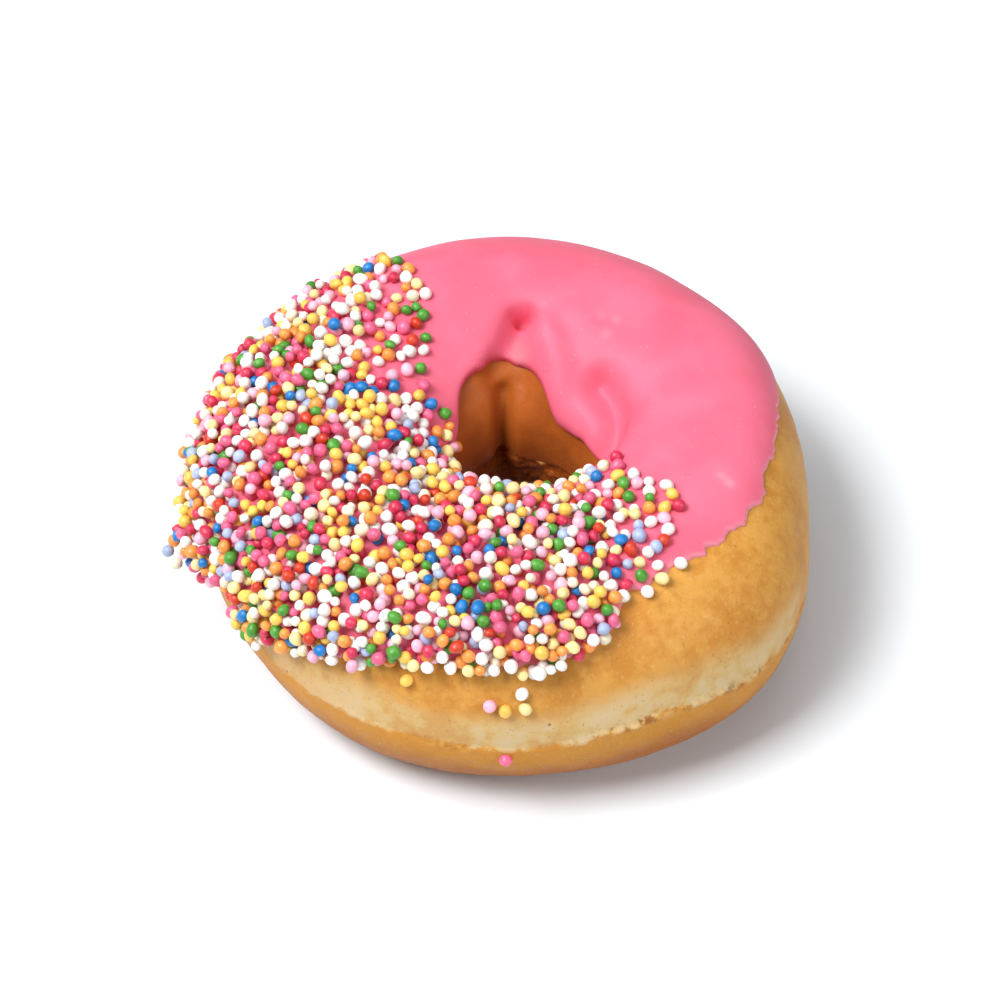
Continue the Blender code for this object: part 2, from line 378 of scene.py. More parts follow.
    def dough_skin(self, turn: Array, tilt: Array) -> Array:
        """Points of the dough's skin with its creases, rolls and soft lumps.

        Args:
            turn: Angles round the hole.
            tilt: Angles round the dough.

        Returns:
            One point for each pair of angles, in metres.
        """
        points = self.plain_skin(turn, tilt)
        rise = sum(fold.at(points[..., :2]) for fold in self.folds)
        rise = rise * smooth_ramp(points[..., 2], *self.folds_fade)
        lumps = self.lump_height * self.lumps.layered(points, self.lump_grain, 2)
        rise = rise + lumps * smooth_ramp(points[..., 2], 0, self.folds_fade[1])
        return points + outward(self.plain_skin, turn, tilt) * rise[..., None]

    def foot_lean(self, turn: Array) -> Array:
        """Find how far the flat foot reaches.

        Args:
            turn: Angles round the hole.

        Returns:
            The tilt from straight down to the foot's rim, at each of them.
        """
        drop = self.waist_height / (self.waist_height + self.foot_sink)
        share = (1 - drop**self.squareness) ** (1 / self.squareness)
        return np.arctan2(share * self.section(turn)[1], self.waist_height)

    def tilt_at_height(self, turn: Array, height: Array) -> Array:
        """Tilt at which the outer side reaches a height.

        Args:
            turn: Angles round the hole, in one row.
            height: A height for each of them.

        Returns:
            The tilts.
        """
        tilts = np.linspace(-QUARTER_TURN, QUARTER_TURN, self.outer_steps)
        heights = self.plain_skin(turn[:, None], tilts[None, :])[..., 2]
        return np.array([np.interp(*row, tilts) for row in zip(height, heights)])

    def icing_edges(self, turn: Array) -> tuple[Array, Array]:
        """Find where the icing lies.

        Args:
            turn: Angles round the hole, in one row.

        Returns:
            The tilts at which it starts on the outer side and ends in the hole.
        """
        heights = self.icing_edge + waves(turn, self.icing_edge_waves)
        tilts = self.hole_edge_tilt - waves(turn, self.hole_edge_rises)
        return self.tilt_at_height(turn, heights), np.radians(tilts)

    def depth_in_dip(self, plan: Array) -> Array:
        """Distance in plan behind the dip line, positive on the sprinkled side."""
        distance, side = beside_path(plan, np.array(self.dip_line))
        return np.where(side < 0, distance, -distance)

    def placed(self, points: Array) -> Array:
        """Move points from the ring's own centre to the ring's place in the frame."""
        return points + np.array((*self.centre, 0))


class Signal:
    """A socket of a material's nodes that takes part in Python arithmetic."""

    def __init__(self, nodes: "Nodes", socket: bpy.types.NodeSocket) -> None:
        """Wrap an output socket."""
        self.nodes = nodes
        self.socket = socket

    def _math(self, operation: str, *values: Any) -> "Signal":
        """Result of a Math node on these values."""
        return self.nodes.add("ShaderNodeMath", {"operation": operation}, dict(enumerate(values)))

    def __add__(self, other: Any) -> "Signal":
        """This plus other."""
        return self._math("ADD", self, other)

    def __sub__(self, other: Any) -> "Signal":
        """This less other."""
        return self._math("SUBTRACT", self, other)

    def __rsub__(self, other: Any) -> "Signal":
        """Other less this."""
        return self._math("SUBTRACT", other, self)

    def __mul__(self, other: Any) -> "Signal":
        """This times other."""
        return self._math("MULTIPLY", self, other)

    __radd__ = __add__
    __rmul__ = __mul__


class Nodes:
    """The node tree of one material, with one way to add a node.

    The Mix node has sockets of the same name for each type of data, so its colours go by number.
    """

    FIRST_COLOUR, SECOND_COLOUR, MIXED_COLOUR = 6, 7, 2

    def __init__(self, name: str) -> None:
        """Start a material with only its Principled shader.

        Args:
            name: The material's name.
        """
        self.material = bpy.data.materials.new(name)
        self.material.use_nodes = True
        self.tree = self.material.node_tree
        self.shader = self.tree.nodes["Principled BSDF"]

    def add(self, kind: str, settings: dict[str, Any], values: dict[Any, Any], output: Any = 0) -> Signal:
        """Add a node, set it, and fill or link its sockets.

        Args:
            kind: The node's type.
            settings: Its settings by name.
            values: Numbers, colours or signals by the name or the number of the socket.
            output: Name or number of the output to return.

        Returns:
            The chosen output.
        """
        node = self.tree.nodes.new(kind)
        for name, value in settings.items():
            setattr(node, name, value)
        for name, value in values.items():
            self.feed(node.inputs[name], value)
        return Signal(self, node.outputs[output])

    def feed(self, socket: bpy.types.NodeSocket, value: Any) -> None:
        """Link a signal to a socket, or set the socket to a value.

        Args:
            socket: The socket.
            value: A signal, a number, a colour or a vector.
        """
        if isinstance(value, Signal):
            self.tree.links.new(value.socket, socket)
        elif isinstance(value, tuple) and len(value) == 3 and socket.type == "RGBA":
            socket.default_value = (*value, 1)
        else:
            socket.default_value = value

    def finish(self, **values: Any) -> bpy.types.Material:
        """Feed the Principled shader's sockets, and give back the material.

        Args:
            values: Numbers, colours or signals by the socket's name, with underscores for spaces.

        Returns:
            The material.
        """
        sockets = {socket.name.lower(): socket for socket in self.shader.inputs}
        for name, value in values.items():
            self.feed(sockets[name.replace("_", " ")], value)
        return self.material

    def place(self) -> Signal:
        """The surface's place in the object's own coordinates."""
        return self.add("ShaderNodeTexCoord", {}, {}, "Object")

    def mask(self, name: str) -> Signal:
        """A value stored on the mesh's points."""
        return self.add("ShaderNodeAttribute", {"attribute_name": name}, {}, "Fac")

    def noise(self, grain: float, detail: float = 2, roughness: float = 0.5) -> Signal:
        """Noise whose bumps are about as wide as the grain."""
        values = {"Vector": self.place(), "Scale": 1 / grain, "Detail": detail, "Roughness": roughness}
        return self.add("ShaderNodeTexNoise", {}, values, "Fac")

    def ramp(self, signal: Signal, start: float, end: float, low: float = 0, high: float = 1) -> Signal:
        """Map a signal softly from one range to another.

        Args:
            signal: The signal.
            start: Its value at one end of its range, which may be the higher one.
            end: Its value at the other end.
            low: The result at the start and beyond it.
            high: The result at the end and beyond it.

        Returns:
            The result.
        """
        values = dict(enumerate((signal, start, end, low, high)))
        return self.add("ShaderNodeMapRange", {"interpolation_type": "SMOOTHSTEP"}, values)

    def mix(self, share: Any, first: Any, second: Any) -> Signal:
        """Colour between first and second."""
        values = {"Factor": share, self.FIRST_COLOUR: first, self.SECOND_COLOUR: second}
        return self.add("ShaderNodeMix", {"data_type": "RGBA"}, values, self.MIXED_COLOUR)

    def bump(self, height: Signal, distance: float, strength: float) -> Signal:
        """Normal bent by a height."""
        values = {"Height": height, "Distance": distance, "Strength": strength}
        return self.add("ShaderNodeBump", {}, values)


@dataclass(frozen=True)
class CrustFinish:
    """Fried crust: mottled gold above the waist, pale at it, browner below and in the hole."""

    gold: Colour = linear(208, 152, 72)
    deep_gold: Colour = linear(194, 130, 52)
    pale: Colour = linear(208, 176, 116)
    milky: Colour = linear(208, 184, 142)
    brown: Colour = linear(160, 90, 16)
    light_brown: Colour = linear(198, 134, 44)
    hole_brown: Colour = linear(168, 88, 32)
    deep_brown: Colour = linear(146, 72, 24)
    ragged_brown: Colour = linear(150, 74, 20)
    crumb: Colour = linear(226, 184, 116)
    # Painted shade for the crevices of the torn line and for the dark pores.
    crevice_shade: Colour = linear(140, 82, 30)
    speck: Colour = linear(110, 56, 20)
    roughness: tuple[float, float] = (0.46, 0.64)
    mottle_grain: float = 7 * MM
    streak_grain: float = 3.2 * MM
    fleck_grain: float = 1.6 * MM
    pore_grain: float = 0.45 * MM
    gold_range: tuple[float, float] = (0.72, 1.15)
    brown_range: tuple[float, float] = (-0.7, 0.7)
    milky_range: tuple[float, float] = (0.68, 0.9)
    band_foot: tuple[float, float] = (-0.08, 0.08)
    band_head: tuple[float, float] = (0.6, 1.3)
    band_share: tuple[float, float] = (0.45, 0.95)
    crumb_share: float = 0.55
    # Strength of the painted shade in the torn line's crevices.
    crevice_shade_share: float = 0.8
    pale_pore_share: float = 0.3
    # Strength of the painted shade in the pores.
    pore_shade_share: float = 0.4
    # Painted shade: mask values over which the hole's wall darkens to deep brown.
    hole_shade_range: tuple[float, float] = (0.1, 1.0)
    streak_share: float = 0.45
    ragged_share: float = 0.85
    ragged_rim_share: float = 0.8
    # Strength of the painted highlights on the ragged foot.
    ragged_glint_share: float = 0.6
    speck_spacing: float = 4.5 * MM
    speck_radius: float = 0.07
    speck_share: float = 0.7
    torn_bump: float = 1.2
    bump_depth: float = 0.5 * MM
    bump_strength: float = 0.45
    specular: float = 0.18
    glow: float = 0.1
    glow_reach: tuple[float, float, float] = (1.0, 0.45, 0.2)
    glow_depth: float = 1.2 * MM
    grease: float = 0.02
    grease_roughness: float = 0.35

    def side(self, nodes: Nodes, mottle: Signal, fleck: Signal, pores: Signal) -> Signal:
        """Colour the outer side: gold over the waist, a pale band at it and brown below.

        Args:
            nodes: The material's nodes.
            mottle: Wide noise.
            fleck: Finer noise.
            pores: The finest noise.

        Returns:
            The colour.
        """
        waist, torn, shown = nodes.mask("waist"), nodes.mask("torn"), nodes.mask("band")
        gold = nodes.mix(nodes.ramp(mottle + fleck * 0.9, *self.gold_range), self.deep_gold, self.gold)
        lightness = nodes.ramp(waist + mottle + fleck * 0.8, *self.brown_range)
        brown = nodes.mix(lightness, self.brown, self.light_brown)
        edge = waist + (mottle - 0.5) * 0.7 + (fleck - 0.5) * 0.4
        side = nodes.mix(nodes.ramp(waist, -0.2, 0.2), brown, gold)
        milk = nodes.mix(nodes.ramp(mottle + fleck * 0.5, *self.milky_range), self.pale, self.milky)
        band = nodes.ramp(edge, *self.band_foot) * nodes.ramp(edge, *self.band_head, 1, 0) * shown
        side = nodes.mix(band * nodes.ramp(mottle + fleck * 0.3, 0.48, 0.68, *self.band_share), side, milk)
        side = nodes.mix(torn * nodes.ramp(fleck, 0.50, 0.57) * self.crumb_share, side, self.crumb)
        # Painted shade in the torn line's crevices.
        side = nodes.mix(torn * nodes.ramp(fleck, 0.47, 0.41) * self.crevice_shade_share, side, self.crevice_shade)
        side = nodes.mix(nodes.ramp(pores, 0.38, 0.28) * self.pale_pore_share, side, self.milky)
        # Painted shade in the finest pits, the dark pores.
        return nodes.mix(nodes.ramp(pores, 0.64, 0.74) * self.pore_shade_share, side, self.crevice_shade)

    def wall(self, nodes: Nodes, mottle: Signal, fleck: Signal) -> Signal:
        """Colour the wall of the hole: brown, with painted shade that darkens it lower in the hole, and a
        ragged dark foot.

        Args:
            nodes: The material's nodes.
            mottle: Wide noise.
            fleck: Finer noise.

        Returns:
            The colour.
        """
        depth, ragged, streak = nodes.mask("depth"), nodes.mask("ragged"), nodes.noise(self.streak_grain, 3)
        # Painted shade: the wall turns from hole brown to deep brown the lower it lies in the hole.
        painted_hole_shade = nodes.ramp(depth + (mottle - 0.5) * 0.4, *self.hole_shade_range)
        wall = nodes.mix(painted_hole_shade, self.hole_brown, self.deep_brown)
        wall = nodes.mix(nodes.ramp(streak, 0.45, 0.7) * self.streak_share, wall, self.deep_brown)
        wall = nodes.mix(ragged * self.ragged_share, wall, self.ragged_brown)
        rim = ragged * (1 - ragged) * 4
        wall = nodes.mix(rim * nodes.ramp(fleck, 0.38, 0.48) * self.ragged_rim_share, wall, self.crumb)
        # Painted highlights: lighter glints along streaks of the ragged foot.
        glints = ragged * nodes.ramp(streak, 0.5, 0.62) * self.ragged_glint_share
        return nodes.mix(glints, wall, self.hole_brown)

    def material(self) -> bpy.types.Material:
        """Make the crust's material, which reads the masks of the ring's mesh.

        Returns:
            The material.
        """
        nodes = Nodes("golden crust")
        mottle, fleck = nodes.noise(self.mottle_grain, 3), nodes.noise(self.fleck_grain, 3, 0.6)
        pores = nodes.noise(self.pore_grain, 2)
        side, wall = self.side(nodes, mottle, fleck, pores), self.wall(nodes, mottle, fleck)
        colour = nodes.mix(nodes.mask("hole"), side, wall)
        spacing = {"Vector": nodes.place(), "Scale": 1 / self.speck_spacing}
        spots = nodes.add("ShaderNodeTexVoronoi", {}, spacing, "Distance")
        speck = nodes.ramp(spots, self.speck_radius, self.speck_radius * 0.5)
        colour = nodes.mix(speck * nodes.ramp(mottle, 0.45, 0.55) * self.speck_share, colour, self.speck)
        height = mottle * 0.5 + fleck * 0.35 + pores * 0.15
        rough = nodes.mask("torn") + nodes.mask("ragged")
        height = height + (fleck + pores * 0.5) * rough * self.torn_bump
        return nodes.finish(
            base_color=colour,
            roughness=nodes.ramp(fleck, *NOISE_SPAN, *self.roughness),
            normal=nodes.bump(height, self.bump_depth, self.bump_strength),
            specular_ior_level=self.specular,
            subsurface_weight=self.glow,
            subsurface_radius=self.glow_reach,
            subsurface_scale=self.glow_depth,
            coat_weight=self.grease,
            coat_roughness=self.grease_roughness,
        )


@dataclass(frozen=True)
class IcingFinish:
    """Set sugar icing: soft pink with a satin face, paler where it runs thin at its lip, with painted shade
    at its edge in the hole and painted highlight spots.
    """

    pink: Colour = linear(233, 112, 138)
    deep_pink: Colour = linear(227, 101, 126)
    lip: Colour = linear(246, 172, 184)
    pale: Colour = linear(190, 120, 128)
    # Painted shade: deep red where the icing turns down into the hole.
    rim: Colour = linear(204, 60, 78)
    cloud_grain: float = 9 * MM
    dust_grain: float = 0.5 * MM
    lip_share: float = 0.6
    pale_share: float = 0.8
    # Strength of the painted shade at the icing's edge in the hole.
    rim_shade_share: float = 0.6
    dust_share: float = 0.35
    roughness: tuple[float, float] = (0.50, 0.60)
    bump_depth: float = 0.4 * MM
    bump_strength: float = 0.3
    specular: float = 0.22
    glow: float = 0.12
    glow_reach: tuple[float, float, float] = (1.0, 0.35, 0.45)
    glow_depth: float = 1.2 * MM

    def material(self) -> bpy.types.Material:
        """Make the icing's material, which reads the mesh's lip mask with its painted highlights, its rim
        mask of painted shade and its pale mask.

        Returns:
            The material.
        """
        nodes = Nodes("pink icing")
        cloud, dust = nodes.noise(self.cloud_grain, 2), nodes.noise(self.dust_grain, 2)
        colour = nodes.mix(nodes.ramp(cloud, 0.35, 0.7), self.deep_pink, self.pink)
        # The lip mask lightens the thin lip and also paints the highlight spots.
        colour = nodes.mix(nodes.mask("lip") * self.lip_share, colour, self.lip)
        colour = nodes.mix(nodes.mask("pale") * self.pale_share, colour, self.pale)
        # Painted shade along the icing's edge in the hole.
        colour = nodes.mix(nodes.mask("rim") * self.rim_shade_share, colour, self.rim)
        colour = nodes.mix(nodes.ramp(dust, 0.70, 0.76) * self.dust_share, colour, self.lip)
        return nodes.finish(
            base_color=colour,
            roughness=nodes.ramp(cloud, *NOISE_SPAN, *self.roughness),
            normal=nodes.bump(cloud * 0.7 + dust * 0.06, self.bump_depth, self.bump_strength),
            specular_ior_level=self.specular,
            subsurface_weight=self.glow,
            subsurface_radius=self.glow_reach,
            subsurface_scale=self.glow_depth,
        )


class SugarColour(Enum):
    """The sprinkles' colours, each with its screen colour and its share of the pile."""

    WHITE = ((250, 243, 238), 24)
    CREAM = ((250, 234, 206), 4)
    LIGHT_PINK = ((242, 178, 200), 9)
    ROSE = ((230, 98, 138), 11)
    CRIMSON = ((208, 44, 82), 8)
    RED = ((206, 56, 26), 3)
    ORANGE = ((240, 150, 66), 12)
    DEEP_YELLOW = ((250, 200, 88), 11)
    PALE_YELLOW = ((250, 226, 156), 9)
    GREEN = ((76, 152, 46), 6)
    BLUE = ((14, 120, 194), 4)
    LAVENDER = ((168, 182, 218), 4)

    @property
    def screen(self) -> tuple[int, int, int]:
        """The colour on the screen, of 0 to 255."""
        return self.value[0]

    @property
    def share(self) -> float:
        """Share of the pile that has this colour."""
        return self.value[1]

    @property
    def label(self) -> str:
        """The colour's name in small letters."""
        return self.name.lower()


@dataclass(frozen=True)
class SugarFinish:
    """Satin sugar of one colour, a little lighter or darker from ball to ball."""

    colour: SugarColour
    darkest: float = 0.84
    lightest: tuple[float, float, float] = (1.08, 0.01, 0.96)
    powder_grain: float = 0.35 * MM
    powder_share: float = 0.15
    roughness: tuple[float, float] = (0.34, 0.48)
    bump_depth: float = 0.08 * MM
    bump_strength: float = 0.35
    glow: float = 0.2
    glow_reach: tuple[float, float, float] = (1.0, 0.8, 0.7)
    glow_depth: float = 0.4 * MM
    polish: float = 0.1
    polish_roughness: float = 0.3

    def material(self) -> bpy.types.Material:
        """Make the sugar's material, which reads the tone mask of the balls' mesh.

        Returns:
            The material.
        """
        nodes = Nodes("sugar " + self.colour.label)
        plain = linear(*self.colour.screen)
        darker = tuple(value * self.darkest for value in plain)
        gain, added, most = self.lightest
        lighter = tuple(min(value * gain + added, most) for value in plain)
        powder = nodes.noise(self.powder_grain, 2)
        share = nodes.mask("tone") * (1 - self.powder_share) + powder * self.powder_share
        return nodes.finish(
            base_color=nodes.mix(share, darker, lighter),
            roughness=nodes.ramp(powder, *NOISE_SPAN, *self.roughness),
            normal=nodes.bump(powder, self.bump_depth, self.bump_strength),
            subsurface_weight=self.glow,
            subsurface_radius=self.glow_reach,
            subsurface_scale=self.glow_depth,
            coat_weight=self.polish,
            coat_roughness=self.polish_roughness,
        )


def new_piece(name: str, points: Array, corners: Array, masks: dict[str, Array]) -> bpy.types.Object:
    """Make a smooth mesh object.

    Args:
        name: The piece's name.
        points: One row of x, y and z for each point.
        corners: One row of point numbers for each face, all of one length.
        masks: Values for each point, by the name that a material reads.

    Returns:
        The new object, in the scene.
    """
    mesh = bpy.data.meshes.new(name)
    count, sides = corners.shape
    mesh.vertices.add(len(points))
    mesh.vertices.foreach_set("co", points.astype(np.float32).ravel())
    mesh.loops.add(count * sides)
    mesh.loops.foreach_set("vertex_index", corners.astype(np.int32).ravel())
    mesh.polygons.add(count)
    mesh.polygons.foreach_set("loop_start", np.arange(0, count * sides, sides, dtype=np.int32))
    mesh.update(calc_edges=True)
    mesh.shade_smooth()
    for mask, values in masks.items():
        stored = mesh.attributes.new(mask, "FLOAT", "POINT")
        stored.data.foreach_set("value", values.astype(np.float32).ravel())
    piece = bpy.data.objects.new(name, mesh)
    bpy.context.scene.collection.objects.link(piece)
    return piece


def tube_corners(columns: int, rows: int) -> Array:
    """Number the corners of a grid's quads, closed both round the hole and round the dough.

    Args:
        columns: How many points lie round the hole.
        rows: How many lie round the dough.

    Returns:
        One row of four point numbers for each quad.
    """
    column, row = np.meshgrid(np.arange(columns), np.arange(rows), indexing="ij")
    here, there = column * rows, (column + 1) % columns * rows
    above = (row + 1) % rows
    return np.stack([here + row, there + row, there + above, here + above], axis=-1).reshape(-1, 4)


def dress(piece: bpy.types.Object, material: bpy.types.Material, slot: str, *nodes: str) -> None:
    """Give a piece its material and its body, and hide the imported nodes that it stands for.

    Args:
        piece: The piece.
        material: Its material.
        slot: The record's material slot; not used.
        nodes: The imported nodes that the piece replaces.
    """
    piece.data.materials.append(material)
    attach(piece, "root")
    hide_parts(*nodes)
    LOG.info("%s: %d faces", piece.name, len(piece.data.polygons))


@dataclass
class DoughRing:
    """The fried ring of dough, with its torn waist line and crumbly hole."""

    form: RingForm
    columns: int = 500
    iced_rows: int = 16
    wall_rows: int = 24
    wall_torn_rows: int = 42
    wall_foot_rows: int = 8
    foot_rows: int = 4
    low_rows: int = 18
    waist_rows: int = 57
    shoulder_rows: int = 20
    wall_torn_tilts: tuple[float, float] = (174, 214)
    waist_tilts: tuple[float, float] = (-14, 30)
    tuck: float = math.radians(5)
    sunk: float = -1 * MM
    band_top: float = 20.6 * MM
    band_top_swells: tuple[Swell, ...] = (
        Swell(301, 20, 2.9 * MM),
        Swell(238, 12, 1.9 * MM),
        Swell(110, 30, 2 * MM),
    )
    band_bottom: float = 15.3 * MM
    band_bottom_swells: tuple[Swell, ...] = (
        Swell(300, 16, 2.5 * MM),
        Swell(238, 12, 1 * MM),
        Swell(110, 25, 1 * MM),
    )
    band_gaps: tuple[Swell, ...] = (Swell(0, 24, 1), Swell(200, 20, 1), Swell(228, 14, 0.35))
    band_wander: float = 0.8 * MM
    band_grain: float = 6 * MM
    waist_span: tuple[float, float] = (-2, 3)
    outside_from: float = -0.2
    patch_grain: float = 7 * MM
    patch_fade: tuple[float, float] = (-0.3, 0.3)
    torn_reach: float = 0.9 * MM
    torn_grain: float = 1.4 * MM
    torn_depth: float = 0.65 * MM
    step_height: float = 0.25 * MM
    step_width: float = 0.075
    step_fade: tuple[float, float] = (-1.6, -0.3)
    hole_torn_height: float = 15.0 * MM
    hole_torn_swells: tuple[Swell, ...] = (Swell(114, 12, 1.2 * MM), Swell(60, 20, 0.6 * MM))
    hole_torn_wander: float = 1.2 * MM
    hole_torn_grain: float = 5 * MM
    hole_torn_reach: float = 0.7 * MM
    ragged_heights: tuple[float, float] = (2 * MM, 6 * MM)
    wall_from: float = -0.4
    wall_fade: tuple[float, float] = (0.1, 0.45)
    # Painted shade: heights at which the hole's wall starts to darken and is darkest.
    hole_shade_heights: tuple[float, float] = (26 * MM, 9 * MM)
    torn_zones: tuple[Swell, ...] = (Swell(292, 42, 1), Swell(100, 50, 0.7))
    ledge_depth: float = -0.7 * MM
    ragged_grain: float = 2.6 * MM
    ragged_depth: float = 1.5 * MM
    crust_grain: float = 2.4 * MM
    crust_height: float = 0.09 * MM
    smooth_foot: float = 2 * MM
    noise: Unevenness = field(default_factory=lambda: Unevenness(11))

    def angles(self) -> tuple[Array, Array]:
        """Lay out the grid, with its rows closest where the bare dough shows detail.

        Returns:
            The turn and the tilt of each point, with one row of them for each turn.
        """
        turns = np.arange(self.columns) / self.columns * math.tau
        outer, inner = self.form.icing_edges(turns)
        lean = self.form.foot_lean(turns)
        level = np.zeros_like(turns)
        wall, waist = np.radians(self.wall_torn_tilts), np.radians(self.waist_tilts) + math.tau
        stops = (
            outer + self.tuck,
            inner - self.tuck,
            level + wall[0],
            level + wall[1],
            STRAIGHT_DOWN - lean,
            STRAIGHT_DOWN + lean,
            level + waist[0],
            level + waist[1],
            outer + self.tuck + math.tau,
        )
        counts = (
            self.iced_rows,
            self.wall_rows,
            self.wall_torn_rows,
            self.wall_foot_rows,
            self.foot_rows,
            self.low_rows,
            self.waist_rows,
            self.shoulder_rows,
        )
        rows = [
            np.linspace(start, end, count, axis=1, endpoint=False)
            for start, end, count in zip(stops, stops[1:], counts)
        ]
        tilt = np.concatenate(rows, axis=1)
        return np.repeat(turns[:, None], tilt.shape[1], axis=1), tilt

    def masks(self, turn: Array, tilt: Array, points: Array) -> dict[str, Array]:
        """Work out where the pale band, the torn lines and the hole lie, and the painted shade low in the
        hole.

        Args:
            turn: Angles round the hole.
            tilt: Angles round the dough.
            points: The skin at those angles.

        Returns:
            Each mask's values for the points, by its name. The waist mask is 0 at the band's foot
            and 1 at its top, and the others run from 0 to 1.
        """
        level, across = points[..., 2], np.cos(tilt)
        height = level + self.band_wander * self.noise.layered(points, self.band_grain, 3)
        bottom = self.band_bottom + waves(turn, self.band_bottom_swells)
        top = self.band_top + waves(turn, self.band_top_swells)
        outside = across > self.outside_from
        waist = np.where(outside, (height - bottom) / (top - bottom), self.waist_span[0])
        shown = np.clip(1 - waves(turn, self.band_gaps), 0, 1)
        patchy = smooth_ramp(self.noise.layered(points + 0.1, self.patch_grain, 2), *self.patch_fade)
        line = np.exp(-(((height - bottom) / self.torn_reach) ** 2)) * outside * patchy * shown
        low = self.hole_torn_height + waves(turn, self.hole_torn_swells)
        low = low + self.hole_torn_wander * self.noise.layered(points, self.hole_torn_grain, 2)
        ragged = smooth_ramp(low - level, 0, self.hole_torn_reach) * (across < self.wall_from)
        return {
            "waist": np.clip(waist, *self.waist_span),
            "band": shown,
            "torn": line * waves(turn, self.torn_zones),
            "ragged": ragged * smooth_ramp(level, *self.ragged_heights),
            "hole": smooth_ramp(-across, *self.wall_fade),
            # Painted shade: rises from 0 high in the hole to 1 low down in it.
            "depth": smooth_ramp(level, *self.hole_shade_heights),
        }

    def relief(self, points: Array, masks: dict[str, Array]) -> Array:
        """Raise the torn crumbs, the crust's step below the band and the fine crust.

        Args:
            points: The skin.
            masks: Its masks.

        Returns:
            The rise at each point.
        """
        crumbs = self.noise.layered(points + 0.3, self.torn_grain, 3)
        torn = crumbs * masks["torn"] * self.torn_depth
        lumps = self.noise.layered(points + 0.4, self.ragged_grain, 3)
        ledge = masks["ragged"] * (self.ledge_depth + lumps * self.ragged_depth)
        waist = masks["waist"]
        step = smooth_ramp(waist, self.step_width, -self.step_width) * smooth_ramp(waist, *self.step_fade)
        crust = self.crust_height * self.noise.layered(points + 0.5, self.crust_grain, 2)
        rise = torn + ledge + self.step_height * step * masks["band"] + crust
        return rise * smooth_ramp(points[..., 2], 0, self.smooth_foot)

    def build(self) -> bpy.types.Object:
        """Build the ring of dough and dress it.

        Returns:
            The piece.
        """
        turn, tilt = self.angles()
        points = self.form.dough_skin(turn, tilt)
        masks = self.masks(turn, tilt, points)
        rise = self.relief(points, masks)
        rise[:, 1 : self.iced_rows] += self.sunk
        points = points + outward(self.form.plain_skin, turn, tilt) * rise[..., None]
        points[..., 2] = np.maximum(points[..., 2], 0)
        corners = tube_corners(*turn.shape)
        ring = new_piece("dough_ring", self.form.placed(points).reshape(-1, 3), corners, masks)
        dress(ring, CrustFinish().material(), "dough", "dough")
        return ring


@dataclass(frozen=True)
class Patch:
    """A soft round patch of the icing: its middle in plan, its radius and its strength."""

    x: float
    y: float
    radius: float
    strength: float

    def at(self, points: Array) -> Array:
        """Strength of the patch at these points."""
        away = (points[..., :2] - (self.x, self.y)) / self.radius
        return np.exp(-(away**2).sum(axis=-1)) * self.strength


